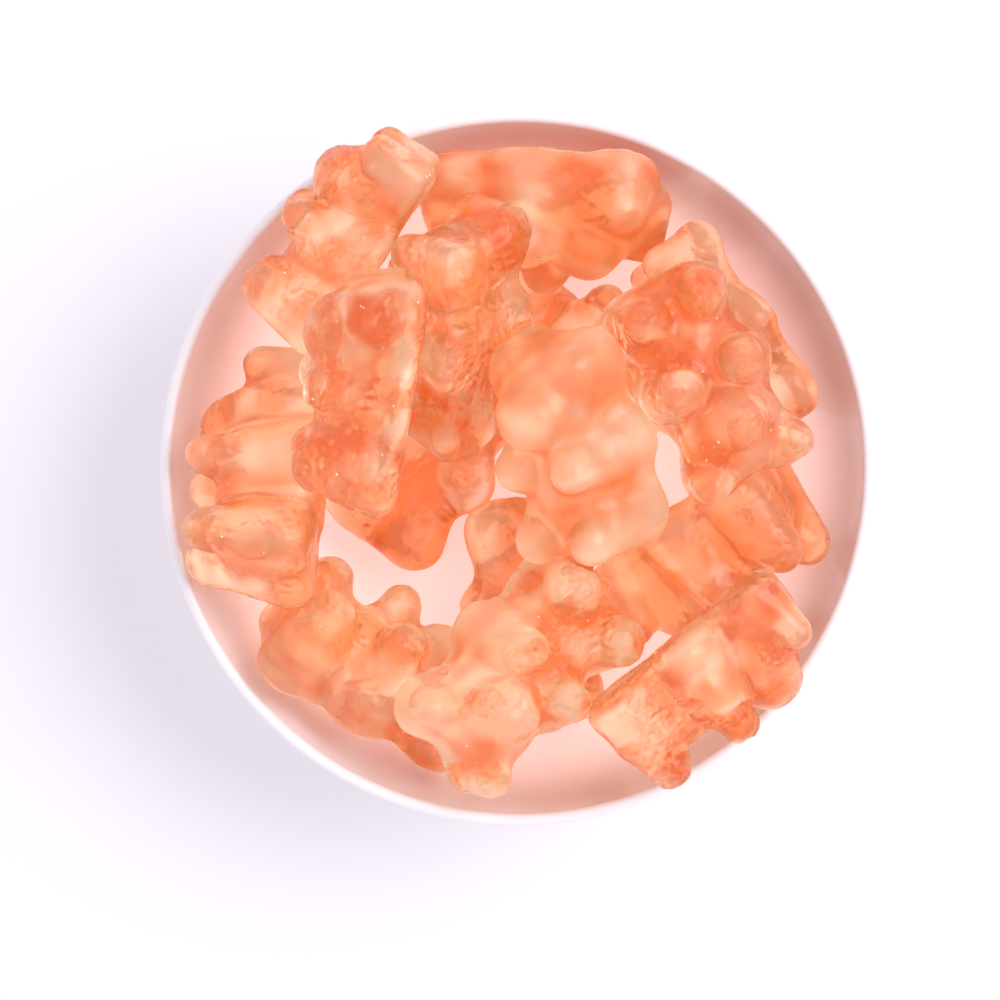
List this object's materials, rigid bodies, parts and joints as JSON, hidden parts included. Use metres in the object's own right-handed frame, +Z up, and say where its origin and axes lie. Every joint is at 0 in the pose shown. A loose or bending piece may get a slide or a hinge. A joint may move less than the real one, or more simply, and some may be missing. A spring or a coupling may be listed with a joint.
{
  "type": "bowl of gummy bears",
  "caption": "Small round white dip bowl heaped with soft translucent peach gummy bears, flat backed with rounded ears, snout, arms and legs, some leaning over the rim.",
  "frame": {"origin": "centre of the bowl's foot, on the surface it stands on", "axes": "+Z up out of the bowl, +Y towards the side of the bowl where the heap is highest against the rim, +X to the right seen from above"},
  "size_m": [0.07, 0.07, 0.0498],
  "materials": {
    "glazed_ceramic": "white gloss glaze",
    "gummy": "soft translucent peach gelatine, satin with a finely pitted skin"
  },
  "bodies": {
    "root": {"bowl": "glazed_ceramic", "bear_floor_left": "gummy", "bear_floor_front": "gummy", "bear_floor_back": "gummy", "bear_right": "gummy", "bear_left": "gummy", "bear_front_left": "gummy", "bear_back": "gummy", "bear_back_right": "gummy", "bear_back_left": "gummy", "bear_front_right": "gummy", "bear_front": "gummy", "bear_middle_back": "gummy", "bear_top_left": "gummy", "bear_top_right": "gummy", "bear_top": "gummy"}
  },
  "joints": []
}
